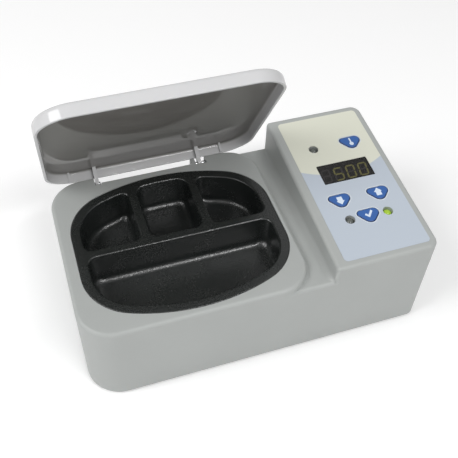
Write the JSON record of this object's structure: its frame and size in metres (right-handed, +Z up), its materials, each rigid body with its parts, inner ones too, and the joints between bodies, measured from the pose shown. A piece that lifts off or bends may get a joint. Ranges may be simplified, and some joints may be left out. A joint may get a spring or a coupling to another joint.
{
  "type": "dental lab wax heater",
  "caption": "Bench heater for dental wax: grey housing with a dark divided bath under a hinged tray lid and a sloping console with keys and a display.",
  "frame": {"origin": "centre of the housing's footprint, on the surface the feet stand on", "axes": "+X towards the console, +Y to the back, +Z up; the keys face the front"},
  "size_m": [0.1932, 0.1175, 0.1513],
  "materials": {
    "housing_plastic": "light grey moulded ABS, fine satin texture",
    "base_plastic": "dark grey moulded plastic",
    "foot_rubber": "black rubber",
    "zinc_steel": "zinc plated",
    "foil_label": "bare brushed foil",
    "nonstick_coating": "cast aluminium with a charcoal non-stick coating, fine pebbled sheen",
    "silicone_rubber": "orange silicone",
    "ceramic_felt": "white ceramic fibre felt",
    "sheet_aluminium": "pressed sheet",
    "sensor_metal": "plated metal",
    "lid_plastic": "light grey glossy moulding",
    "bright_steel": "bright drawn steel",
    "label_film": "printed polyester film, cream above and blue-grey below",
    "smoked_window": "dark smoked window",
    "display_plastic": "black display body with olive segments",
    "key_film": "blue embossed film with pale signs",
    "dark_led": "unlit tinted resin",
    "black_plastic": "black moulded plastic",
    "circuit_board": "green solder mask",
    "core_steel": "stacked laminations",
    "coil_tape": "yellow winding tape",
    "relay_plastic": "blue case",
    "capacitor_sleeve": "dark shrink sleeve",
    "terminal_plastic": "green moulding",
    "fuse_glass": "clear glass tube",
    "clip_brass": "plated spring brass",
    "rocker_plastic": "red moulding",
    "lead_white": "glass-silicone sleeve",
    "lead_black": "black insulation",
    "lead_green": "green and yellow insulation",
    "lead_brown": "brown insulation",
    "ribbon_grey": "grey flat cable with white plugs",
    "lit_led": "green-yellow resin, lit"
  },
  "bodies": {
    "housing": {"top_housing": "housing_plastic", "base_plate": "base_plastic", "feet": "foot_rubber", "base_screws": "zinc_steel", "rating_plate": "foil_label", "wax_bath": "nonstick_coating", "heating_pad": "silicone_rubber", "insulation_blanket": "ceramic_felt", "heat_shield_pan": "sheet_aluminium", "pan_screws": "zinc_steel", "temperature_sensor": "sensor_metal", "thermal_fuse": "sensor_metal", "hinge_pins": "bright_steel", "control_label": "label_film", "display_window": "smoked_window", "display_module": "display_plastic", "upper_led": "dark_led", "lower_left_led": "dark_led", "lower_right_led": "lit_led", "led_spacers": "black_plastic", "key_switches": "black_plastic", "control_board": "circuit_board", "control_board_screws": "zinc_steel", "controller_chip": "black_plastic", "power_board": "circuit_board", "power_board_screws": "zinc_steel", "transformer_core": "core_steel", "transformer_coil": "coil_tape", "relay": "relay_plastic", "capacitor": "capacitor_sleeve", "terminal_block": "terminal_plastic", "fuse": "fuse_glass", "fuse_clips": "clip_brass", "power_inlet": "black_plastic", "inlet_contacts": "bright_steel", "rocker_frame": "black_plastic", "heater_leads": "lead_white", "sensor_lead": "lead_black", "earth_lead": "lead_green", "mains_leads": "lead_brown", "ribbon_cable": "ribbon_grey"},
    "lid": {"lid": "lid_plastic"},
    "units_key": {"units_key": "key_film"},
    "up_key": {"up_key": "key_film"},
    "down_key": {"down_key": "key_film"},
    "set_key": {"set_key": "key_film"},
    "rocker": {"rocker": "rocker_plastic"}
  },
  "joints": [
    {"name": "lid_hinge", "type": "hinge", "parent": "housing", "child": "lid", "pos_m": [-0.035, 0.0526, 0.054], "axis": [-1, 0, 0], "range_deg": [-59.35, 52]},
    {"name": "units_key_press", "type": "slide", "parent": "housing", "child": "units_key", "axis": [0, 0.086, -0.9963], "range_m": [0, 0.0005], "stiffness_N_per_m": 600},
    {"name": "up_key_press", "type": "slide", "parent": "housing", "child": "up_key", "axis": [0, 0.086, -0.9963], "range_m": [0, 0.0005], "stiffness_N_per_m": 600},
    {"name": "down_key_press", "type": "slide", "parent": "housing", "child": "down_key", "axis": [0, 0.086, -0.9963], "range_m": [0, 0.0005], "stiffness_N_per_m": 600},
    {"name": "set_key_press", "type": "slide", "parent": "housing", "child": "set_key", "axis": [0, 0.086, -0.9963], "range_m": [0, 0.0005], "stiffness_N_per_m": 600},
    {"name": "rocker_tilt", "type": "hinge", "parent": "housing", "child": "rocker", "pos_m": [0.081, 0.0536, 0.026], "axis": [1, 0, 0], "range_deg": [0, 18]}
  ]
}
